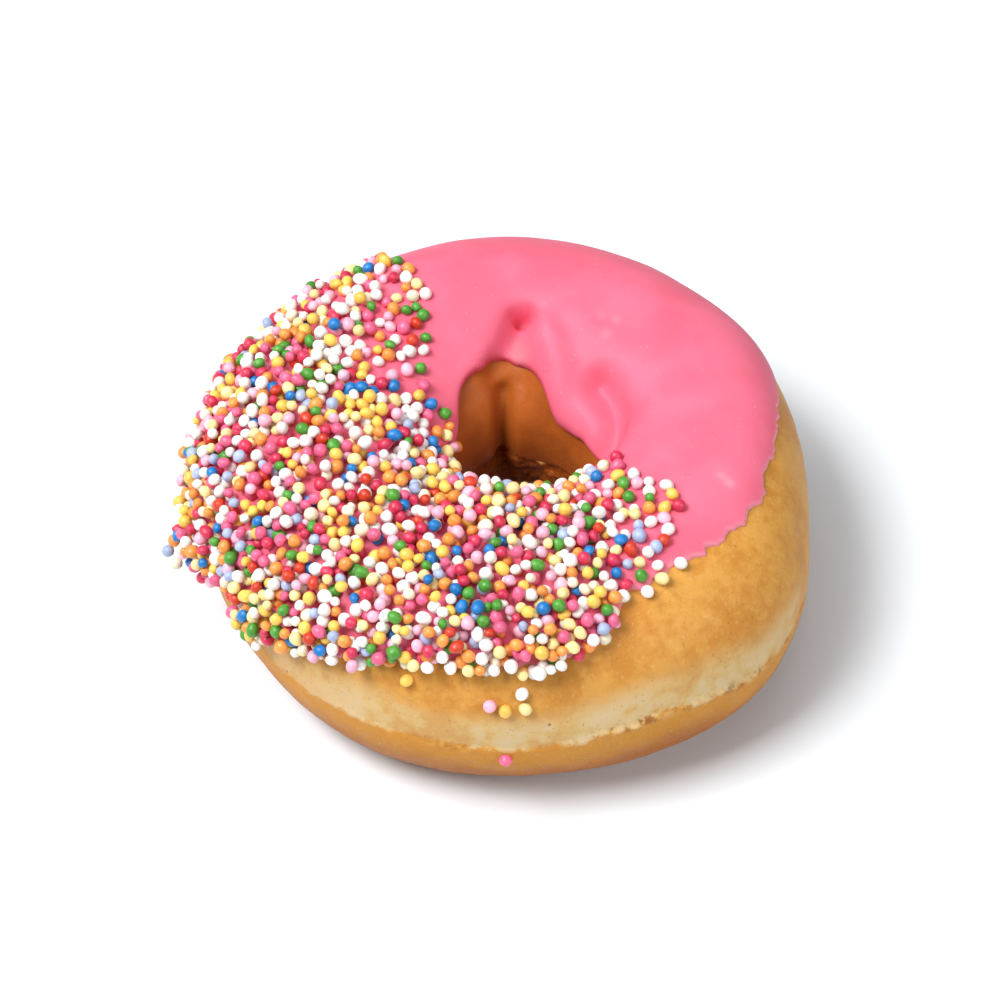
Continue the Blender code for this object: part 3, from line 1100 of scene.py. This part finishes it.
@dataclass
class IcingCoat:
    """The coat of icing, thin and ragged at its outer lip, rolled at the hole."""

    form: RingForm
    columns: int = 720
    face_rows: int = 104
    back_rows: int = 14
    thickness: float = 1.4 * MM
    sunk: float = -0.25 * MM
    outer_lip: tuple[float, float] = (0.3, 4 * MM)
    hole_lip: tuple[float, float] = (0.6, 1.3 * MM)
    edge_round: float = 0.45 * MM
    edge_least: float = 0.05
    section_radius: float = 17 * MM
    swing_grain: float = 9 * MM
    swing_depth: float = 0.2 * MM
    tooth_grain: float = 2.6 * MM
    tooth_depth: float = 1.15 * MM
    nick_grain: float = 1.1 * MM
    nick_depth: float = 0.5 * MM
    middle_share: float = 0.35
    calm_teeth: Swell = Swell(150, 60, -0.6)
    hole_edge_grain: float = 3 * MM
    hole_edge_wander: float = 0.35 * MM
    cloud_grain: float = 11 * MM
    cloud_height: float = 0.22 * MM
    lip_width: float = 0.5 * MM
    pale_patches: tuple[Patch, ...] = (
        Patch(1.0 * MM, 18.4 * MM, 1.2 * MM, 0.7),
        Patch(1.4 * MM, 16.0 * MM, 1.4 * MM, 1.0),
    )
    # Painted highlights: spots lightened to the lip colour where light glints off the icing.
    highlight_patches: tuple[Patch, ...] = (
        Patch(14.6 * MM, 19.0 * MM, 0.8 * MM, 0.3),
        Patch(13.2 * MM, 16.7 * MM, 0.8 * MM, 0.3),
        Patch(28.2 * MM, -9.4 * MM, 0.8 * MM, 0.5),
        Patch(29.3 * MM, -10.5 * MM, 0.8 * MM, 0.7),
    )
    # Width of the painted shade along the icing's edge in the hole.
    rim_shade_width: float = 0.8 * MM
    noise: Unevenness = field(default_factory=lambda: Unevenness(23))

    def edges(self, turn: Array) -> tuple[Array, Array, Array]:
        """Find where the icing starts and ends.

        Args:
            turn: Angles round the hole, in one row.

        Returns:
            The tilts of its outer edge without teeth, of the ragged edge and of its edge in the hole.
        """
        outer, inner = self.form.icing_edges(turn)
        rim = np.stack([np.cos(turn), np.sin(turn), np.zeros_like(turn)], axis=-1)
        wide = rim * self.form.radius
        swing = self.noise.at(wide + 0.2, self.swing_grain) * self.swing_depth
        teeth = np.abs(self.noise.at(wide, self.tooth_grain)) * self.tooth_depth
        nicks = np.abs(self.noise.at(wide + 0.1, self.nick_grain)) * self.nick_depth
        wander = self.noise.at(rim * self.form.hole_radius, self.hole_edge_grain) * self.hole_edge_wander
        middle = (self.tooth_depth + self.nick_depth) * self.middle_share
        ragged = swing + (teeth + nicks - middle) * (1 + self.calm_teeth.at(turn))
        return outer, outer + ragged / self.section_radius, inner + wander / self.section_radius

    def raised(self, turn: Array, tilt: Array, level: Array, outer: Array, inner: Array) -> Array:
        """Find points of the icing's face, from the ring's centre.

        Args:
            turn: Angles round the hole.
            tilt: Angles round the dough.
            level: Tilt of the icing's outer edge without teeth, at each of them.
            outer: Tilt of its ragged outer edge.
            inner: Tilt of its edge in the hole.

        Returns:
            One point for each pair of angles.
        """
        skin = self.form.dough_skin(turn, tilt)
        lift = self.thickness + self.cloud_height * self.noise.layered(skin + 0.2, self.cloud_grain, 2)
        for away, (least, reach) in ((tilt - level, self.outer_lip), (inner - tilt, self.hole_lip)):
            distance = np.clip(away, 0, None) * self.section_radius
            lift = lift * (least + (1 - least) * np.tanh(distance / reach))
        for away in (tilt - outer, inner - tilt):
            lift = lift * np.sqrt(np.clip(away * self.section_radius / self.edge_round, self.edge_least, 1))
        return skin + outward(self.form.plain_skin, turn, tilt) * lift[..., None]

    def face(self, turn: Array, tilt: Array) -> Array:
        """Points of the icing's face at places in one row."""
        return self.raised(turn, tilt, *self.edges(turn))

    def patched(self, points: Array, patches: Sequence[Patch]) -> Array:
        """Strength of all the patches together at these points."""
        return np.clip(sum(patch.at(points) for patch in patches), 0, 1)

    def build(self) -> bpy.types.Object:
        """Build the coat of icing and dress it.

        Returns:
            The piece.
        """
        turns = np.arange(self.columns) / self.columns * math.tau
        level, outer, inner = (edge[:, None] for edge in self.edges(turns))
        share = np.concatenate([np.linspace(0, 1, self.face_rows), np.linspace(1, 0, self.back_rows)])
        tilt = outer + (inner - outer) * share
        turn = np.repeat(turns[:, None], len(share), axis=1)
        points = self.raised(turn, tilt, level, outer, inner)
        back = slice(self.face_rows, None)
        skin = self.form.dough_skin(turn[:, back], tilt[:, back])
        points[:, back] = skin + outward(self.form.plain_skin, turn[:, back], tilt[:, back]) * self.sunk
        lip = np.exp(-(((tilt - outer) * self.section_radius / self.lip_width) ** 2))
        masks = {
            # The lip mask also holds the painted highlight spots.
            "lip": np.maximum(lip, self.patched(points, self.highlight_patches)),
            # rim: painted shade along the icing's edge in the hole.
            "rim": np.exp(-(((inner - tilt) * self.section_radius / self.rim_shade_width) ** 2)),
            "pale": self.patched(points, self.pale_patches),
        }
        corners = tube_corners(*turn.shape)
        coat = new_piece("icing_coat", self.form.placed(points).reshape(-1, 3), corners, masks)
        dress(coat, IcingFinish().material(), "icing", "icing")
        return coat


@dataclass(frozen=True)
class LoneSprinkle:
    """A sprinkle that lies by itself: its place on the ring in degrees, its colour and its rise."""

    turn: float
    tilt: float
    colour: SugarColour
    raised: float = 0


LONE_ON_ICING = (
    LoneSprinkle(313.5, 69, SugarColour.WHITE),
    LoneSprinkle(340, 125, SugarColour.CRIMSON),
    LoneSprinkle(333, 129, SugarColour.CREAM),
    LoneSprinkle(327, 133, SugarColour.LAVENDER),
    LoneSprinkle(327, 111, SugarColour.LIGHT_PINK),
    LoneSprinkle(324.5, 116, SugarColour.GREEN),
    LoneSprinkle(319.5, 109, SugarColour.GREEN),
    LoneSprinkle(325.5, 104, SugarColour.WHITE),
    LoneSprinkle(330.5, 99, SugarColour.WHITE),
    LoneSprinkle(328, 94.5, SugarColour.DEEP_YELLOW),
    LoneSprinkle(325.5, 89, SugarColour.CRIMSON),
    LoneSprinkle(322.5, 93, SugarColour.DEEP_YELLOW),
    LoneSprinkle(319.5, 98, SugarColour.ORANGE),
    LoneSprinkle(314, 81, SugarColour.RED),
    LoneSprinkle(311, 80, SugarColour.LAVENDER),
    LoneSprinkle(303, 71, SugarColour.GREEN),
    LoneSprinkle(302.5, 64, SugarColour.WHITE),
    LoneSprinkle(117, 88, SugarColour.WHITE),
    LoneSprinkle(122, 98, SugarColour.GREEN),
    LoneSprinkle(126, 100, SugarColour.RED),
    LoneSprinkle(139, 118, SugarColour.GREEN),
    LoneSprinkle(145, 124, SugarColour.ROSE),
    LoneSprinkle(151.5, 131, SugarColour.BLUE),
    LoneSprinkle(148, 138, SugarColour.GREEN),
    LoneSprinkle(123, 54, SugarColour.BLUE),
    LoneSprinkle(117.5, 81, SugarColour.PALE_YELLOW),
    LoneSprinkle(198.7, 4, SugarColour.ROSE),
    LoneSprinkle(198, 9, SugarColour.WHITE, 0.4 * MM),
    LoneSprinkle(198.6, 2, SugarColour.LIGHT_PINK, 0.5 * MM),
    LoneSprinkle(196.9, 1, SugarColour.CRIMSON, 1.3 * MM),
    LoneSprinkle(195.5, 6, SugarColour.WHITE, 1.4 * MM),
    LoneSprinkle(191.5, 11, SugarColour.DEEP_YELLOW, 1.9 * MM),
    LoneSprinkle(194, 4, SugarColour.BLUE, 2.2 * MM),
    LoneSprinkle(192, 7, SugarColour.CREAM, 2.9 * MM),
    LoneSprinkle(190, 8, SugarColour.ORANGE, 3.6 * MM),
    LoneSprinkle(192.4, 1, SugarColour.CREAM, 4.1 * MM),
    LoneSprinkle(190.3, 3, SugarColour.LAVENDER, 4.9 * MM),
)
LOOSE_ON_DOUGH = (
    LoneSprinkle(250, 31, SugarColour.DEEP_YELLOW),
    LoneSprinkle(266, 25, SugarColour.LIGHT_PINK),
    LoneSprinkle(268.9, 23, SugarColour.DEEP_YELLOW),
    LoneSprinkle(272, 31, SugarColour.WHITE),
    LoneSprinkle(272.6, 24, SugarColour.PALE_YELLOW),
    LoneSprinkle(269, -6, SugarColour.ROSE),
)


@dataclass
class Places:
    """Places on a skin: their angles, their points and the directions square to the skin there."""

    turn: Array
    tilt: Array
    points: Array
    normals: Array


@dataclass(frozen=True)
class Heap:
    """Where the pile lies higher or lower: turn, tilt and reach in degrees, and the rise."""

    turn: float
    tilt: float
    reach: float
    rise: float

    def at(self, turn: Array, tilt: Array) -> Array:
        """Work out the heap's rise.

        Args:
            turn: Angles round the hole.
            tilt: Angles round the dough.

        Returns:
            The rise at each pair of angles.
        """
        round_hole = turns_between(turn, self.turn) / self.reach
        round_dough = (np.degrees(tilt) - self.tilt) / self.reach
        return self.rise * np.exp(-(round_hole**2) - round_dough**2)


@dataclass
class Sprinkles:
    """Sugar balls dropped one by one on the icing, each resting on what lies under it."""

    form: RingForm
    icing: IcingCoat
    count: int = 2500
    attempts: int = 17000
    candidates: int = 40000
    radii: tuple[float, float] = (0.68 * MM, 0.97 * MM)
    lone_radius: float = 0.88 * MM
    sunk_share: float = 0.14
    loose_sunk_share: float = 0.2
    rolling_reach: float = 1.8 * MM
    rolling_choices: int = 5
    touch: float = 0.97
    crowd_reach: float = 3 * MM
    full_crowd: float = 24
    belt_shares: tuple[tuple[float, float], ...] = ((0, 0.13), (0.15, 0.2), (0.75, 0.26), (1, 1))
    share_grain: float = 7 * MM
    share_wander: float = 0.2
    belt: float = 4 * MM
    sparse_belt: Swell = Swell(136, 36, 15 * MM)
    pile: tuple[tuple[float, float], ...] = ((0, 0), (4 * MM, 0.6 * MM), (12 * MM, 1.8 * MM))
    heaps: tuple[Heap, ...] = (
        Heap(265, 45, 22, 1.0 * MM),
        Heap(192, 12, 7, 1.6 * MM),
        Heap(145, 40, 32, -0.6 * MM),
        Heap(235, 35, 20, 0.6 * MM),
        Heap(255, 120, 30, 0.8 * MM),
    )
    outer_overhang: float = 2.5
    inner_overhang: float = 4.0
    most_stretch: float = 0.17
    lump_height: float = 0.05
    lump_waves: float = 2
    fineness: int = 3
    buried_fineness: int = 2
    cover_height: float = 0.9 * MM
    cover_reach: float = 1.2 * MM
    cover_count: int = 2
    seed: int = 5
    noise: Unevenness = field(default_factory=lambda: Unevenness(31))

    def __post_init__(self) -> None:
        """Start with no balls lying."""
        self.draw = np.random.default_rng(self.seed)
        self.centres = np.zeros((0, 3))
        self.normals = np.zeros((0, 3))
        self.sizes = np.zeros(0)
        self.colours: list[SugarColour] = []

    def iced_places(self) -> Places:
        """Pick candidate places, spread evenly over the icing's sprinkled half.

        Returns:
            The places.
        """
        turn = self.draw.uniform(0, math.tau, self.candidates)
        outer, inner = self.form.icing_edges(turn)
        start, end = outer - math.radians(self.outer_overhang), inner + math.radians(self.inner_overhang)
        tilt = self.draw.uniform(start, end)
        points = self.icing.face(turn, tilt)
        behind = self.form.depth_in_dip(points[:, :2])
        room = np.hypot(points[:, 0], points[:, 1]) * (end - start) * (behind > 0)
        kept = self.draw.uniform(0, 1, self.candidates) < room / room.max()
        turn, tilt = turn[kept], tilt[kept]
        return Places(turn, tilt, points[kept], outward(self.form.plain_skin, turn, tilt))

    def pile_limit(self, places: Places) -> Array:
        """Limit how high the pile may be.

        Args:
            places: Places on the icing.

        Returns:
            How far a ball may lie above the icing's own level, at each of them.
        """
        behind = self.form.depth_in_dip(places.points[:, :2])
        heaped = (heap.at(places.turn, places.tilt) for heap in self.heaps)
        return sum(heaped, np.interp(behind, *zip(*self.pile)))

    def crowd_limit(self, places: Places) -> Array:
        """Limit how dense the pile may be, with less in the belt behind the dip line.

        Args:
            places: Places on the icing.

        Returns:
            How many balls may lie within reach of each of them.
        """
        behind = self.form.depth_in_dip(places.points[:, :2])
        belt = self.belt + self.sparse_belt.at(places.turn)
        share = np.interp(behind / belt, *zip(*self.belt_shares))
        wander = self.share_wander * self.noise.layered(places.points, self.share_grain, 2)
        return self.full_crowd * share * (1 + wander)

    def resting(self, base: Array, normal: Array, radius: float, bed: float) -> float:
        """Find how high a ball comes to rest over a place.

        Args:
            base: The place on the icing.
            normal: Direction square to the icing there.
            radius: The ball's radius.
            bed: Height of its centre where nothing lies under it.

        Returns:
            The height of its centre over the icing.
        """
        away = self.centres - base
        along = away @ normal
        beside = (away**2).sum(axis=1) - along**2
        contact = (self.sizes + radius) * self.touch
        near = beside < contact**2
        if not near.any():
            return bed
        return max(bed, float((along[near] + np.sqrt(contact[near] ** 2 - beside[near])).max()))

    def lay(self, centre: Array, normal: Array, radius: float, colour: SugarColour) -> None:
        """Add one ball to those lying.

        Args:
            centre: Its centre.
            normal: Direction square to the skin under it.
            radius: Its radius.
            colour: Its colour.
        """
        self.centres = np.vstack([self.centres, centre])
        self.normals = np.vstack([self.normals, normal])
        self.sizes = np.append(self.sizes, radius)
        self.colours.append(colour)

    def lay_lone(self, lone: Sequence[LoneSprinkle], skin: Skin, sunk_share: float) -> None:
        """Lay the sprinkles that lie by themselves.

        Args:
            lone: The sprinkles.
            skin: What they lie on.
            sunk_share: How much of a ball's width sinks into it.
        """
        turn = np.radians([one.turn for one in lone])
        tilt = np.radians([one.tilt for one in lone])
        lift = self.lone_radius * (1 - 2 * sunk_share)
        lift = lift + np.array([one.raised for one in lone])
        normals = outward(self.form.plain_skin, turn, tilt)
        centres = skin(turn, tilt) + normals * lift[:, None]
        for centre, normal, one in zip(centres, normals, lone):
            self.lay(centre, normal, self.lone_radius, one.colour)

    def drop(self) -> None:
        """Drop the balls of the pile, each rolling to the lowest place near where it lands."""
        places = self.iced_places()
        limits, crowds = self.pile_limit(places), self.crowd_limit(places)
        colours = list(SugarColour)
        shares = np.array([colour.share for colour in colours], float)
        for _ in range(self.attempts):
            if len(self.sizes) >= self.count:
                break
            landed = self.draw.integers(len(places.turn))
            distance = np.linalg.norm(places.points - places.points[landed], axis=1)
            near = np.flatnonzero(distance < self.rolling_reach)
            near = self.draw.choice(near, min(self.rolling_choices, len(near)), replace=False)
            radius = float(self.draw.uniform(*self.radii))
            bed = radius * (1 - 2 * self.sunk_share)
            heights = [self.resting(places.points[one], places.normals[one], radius, bed) for one in near]
            lowest = int(np.argmin(heights))
            chosen, height = near[lowest], heights[lowest]
            crowd = (np.linalg.norm(self.centres - places.points[chosen], axis=1) < self.crowd_reach).sum()
            if height - bed > limits[chosen] or crowd >= crowds[chosen]:
                continue
            centre = places.points[chosen] + places.normals[chosen] * height
            colour = colours[self.draw.choice(len(colours), p=shares / shares.sum())]
            self.lay(centre, places.normals[chosen], radius, colour)

    def buried(self) -> list[bool]:
        """Find the balls that others cover.

        Returns:
            Whether each ball has others lying over it.
        """
        covered = []
        for centre, normal in zip(self.centres, self.normals):
            away = self.centres - centre
            above = away @ normal
            beside = np.sqrt(np.maximum((away**2).sum(axis=1) - above**2, 0))
            over = (above > self.cover_height) & (beside < self.cover_reach)
            covered.append(int(over.sum()) >= self.cover_count)
        return covered

    def ball(self, fineness: int) -> tuple[Array, Array]:
        """Make a ball of radius 1.

        Args:
            fineness: How often its 20 triangles are halved, counted from 1.

        Returns:
            Its points and its triangles.
        """
        shell = bmesh.new()
        bmesh.ops.create_icosphere(shell, subdivisions=fineness, radius=1)
        points = np.array([tuple(point.co) for point in shell.verts])
        corners = np.array([[corner.index for corner in face.verts] for face in shell.faces])
        shell.free()
        return points, corners

    def shaped(self, ball: Array) -> Array:
        """Stretch a ball a little, make it lumpy and turn it at random.

        Args:
            ball: The ball's points.

        Returns:
            The new points.
        """
        stretch = np.ones(3)
        stretch[0] += self.draw.uniform(0, self.most_stretch)
        stretch[1:] /= math.sqrt(stretch[0])
        heading = self.draw.normal(size=3)
        phase = self.draw.uniform(0, math.tau)
        lump = 1 + self.lump_height * np.sin(ball @ heading * self.lump_waves + phase)
        spin, _ = np.linalg.qr(self.draw.normal(size=(3, 3)))
        return (ball * lump[:, None] * stretch) @ (spin * np.linalg.det(spin))

    def colour_piece(self, colour: SugarColour, balls: Sequence[tuple[Array, Array]]) -> bpy.types.Object:
        """Build the piece of all the balls of one colour, and dress it.

        Args:
            colour: The colour.
            balls: Points and triangles of the plain ball that each ball is shaped from.

        Returns:
            The piece.
        """
        points, corners, tones, total = [], [], [], 0
        for index in [index for index, other in enumerate(self.colours) if other is colour]:
            ball, faces = balls[index]
            points.append(self.shaped(ball) * self.sizes[index] + self.centres[index])
            corners.append(faces + total)
            tones.append(np.full(len(ball), self.draw.uniform(0, 1)))
            total += len(ball)
        piece = new_piece(
            "sprinkles_" + colour.label,
            self.form.placed(np.concatenate(points)),
            np.concatenate(corners),
            {"tone": np.concatenate(tones)},
        )
        loose = {one.colour for one in LOOSE_ON_DOUGH}
        nodes = ("icing", "dough") if colour in loose else ("icing",)
        dress(piece, SugarFinish(colour).material(), "sprinkles", *nodes)
        return piece

    def build(self) -> list[bpy.types.Object]:
        """Lay all the balls and build one piece for each colour.

        Returns:
            The pieces.
        """
        self.lay_lone(LOOSE_ON_DOUGH, self.form.dough_skin, self.loose_sunk_share)
        self.lay_lone(LONE_ON_ICING, self.icing.face, self.sunk_share)
        self.drop()
        buried = self.buried()
        LOG.info("sprinkles: %d balls, %d of them buried", len(self.sizes), sum(buried))
        plain, coarse = self.ball(self.fineness), self.ball(self.buried_fineness)
        balls = [coarse if covered else plain for covered in buried]
        return [self.colour_piece(colour, balls) for colour in SugarColour]


@dataclass(frozen=True)
class Lamp:
    """A square soft lamp that faces the doughnut: its name, its place, its side and its power."""

    name: str
    place: tuple[float, float, float]
    side: float
    power: float

    def hang(self) -> None:
        """Hang the lamp in the scene."""
        light = bpy.data.lights.new(self.name, "AREA")
        light.size = self.side
        light.energy = self.power
        hung = bpy.data.objects.new(self.name, light)
        hung.location = self.place
        hung.rotation_euler = Vector(self.place).to_track_quat("Z", "Y").to_euler()
        bpy.context.scene.collection.objects.link(hung)


@dataclass
class Studio:
    """Where the doughnut is seen: a white floor, soft lamps, a pale surround and the camera."""

    elevation: float = math.radians(50)
    distance: float = 0.55
    aim: tuple[float, float, float] = (0.37 * MM, 2.20 * MM, 14 * MM)
    lens: float = 141.6
    sensor: float = 36
    nearest_shown: float = 10 * MM
    floor_side: float = 4.0
    floor_white: Colour = (0.81, 0.85, 0.885)
    floor_roughness: float = 0.8
    surround: float = 0.06
    lamps: tuple[Lamp, ...] = (
        Lamp("key_lamp", (-0.472, -0.24, 0.848), 0.4, 9.4),
        Lamp("left_lamp", (-0.60, 0.20, 0.77), 0.4, 3.6),
        Lamp("front_lamp", (0.62, -0.52, 0.58), 0.5, 3.9),
        Lamp("top_lamp", (-0.09, 0, 1), 0.8, 3.0),
    )

    def build_camera(self) -> None:
        """Stand the camera before the doughnut and above it."""
        camera = bpy.data.objects.new("camera", bpy.data.cameras.new("camera"))
        camera.data.lens = self.lens
        camera.data.sensor_width = self.sensor
        camera.data.clip_start = self.nearest_shown
        back = Vector((0, -math.cos(self.elevation), math.sin(self.elevation)))
        camera.location = Vector(self.aim) + back * self.distance
        camera.rotation_euler = back.to_track_quat("Z", "Y").to_euler()
        bpy.context.scene.collection.objects.link(camera)
        bpy.context.scene.camera = camera

    def build_surround(self) -> None:
        """Light the doughnut evenly from all round."""
        world = bpy.data.worlds.new("white surround")
        world.use_nodes = True
        background = world.node_tree.nodes["Background"]
        background.inputs["Color"].default_value = (1, 1, 1, 1)
        background.inputs["Strength"].default_value = self.surround
        bpy.context.scene.world = world

    def build_floor(self) -> None:
        """Lay the white floor that the doughnut stands on."""
        half = self.floor_side / 2
        points = np.array([(-half, -half, 0), (half, -half, 0), (half, half, 0), (-half, half, 0)], float)
        floor = new_piece("floor", points, np.array([[0, 1, 2, 3]]), {})
        white = Nodes("white floor").finish(base_color=self.floor_white, roughness=self.floor_roughness)
        floor.data.materials.append(white)

    def build(self) -> None:
        """Build the camera, the lamps, the surround and the floor."""
        self.build_camera()
        for lamp in self.lamps:
            lamp.hang()
        self.build_surround()
        self.build_floor()
        bpy.context.scene.view_settings.view_transform = "Standard"


def main() -> None:
    """Build the doughnut and the studio, and report each piece."""
    logging.basicConfig(level=logging.INFO, format="%(name)s: %(message)s")
    form = RingForm()
    icing = IcingCoat(form)
    Studio().build()
    DoughRing(form).build()
    icing.build()
    Sprinkles(form, icing).build()


if __name__ == "__main__":
    main()
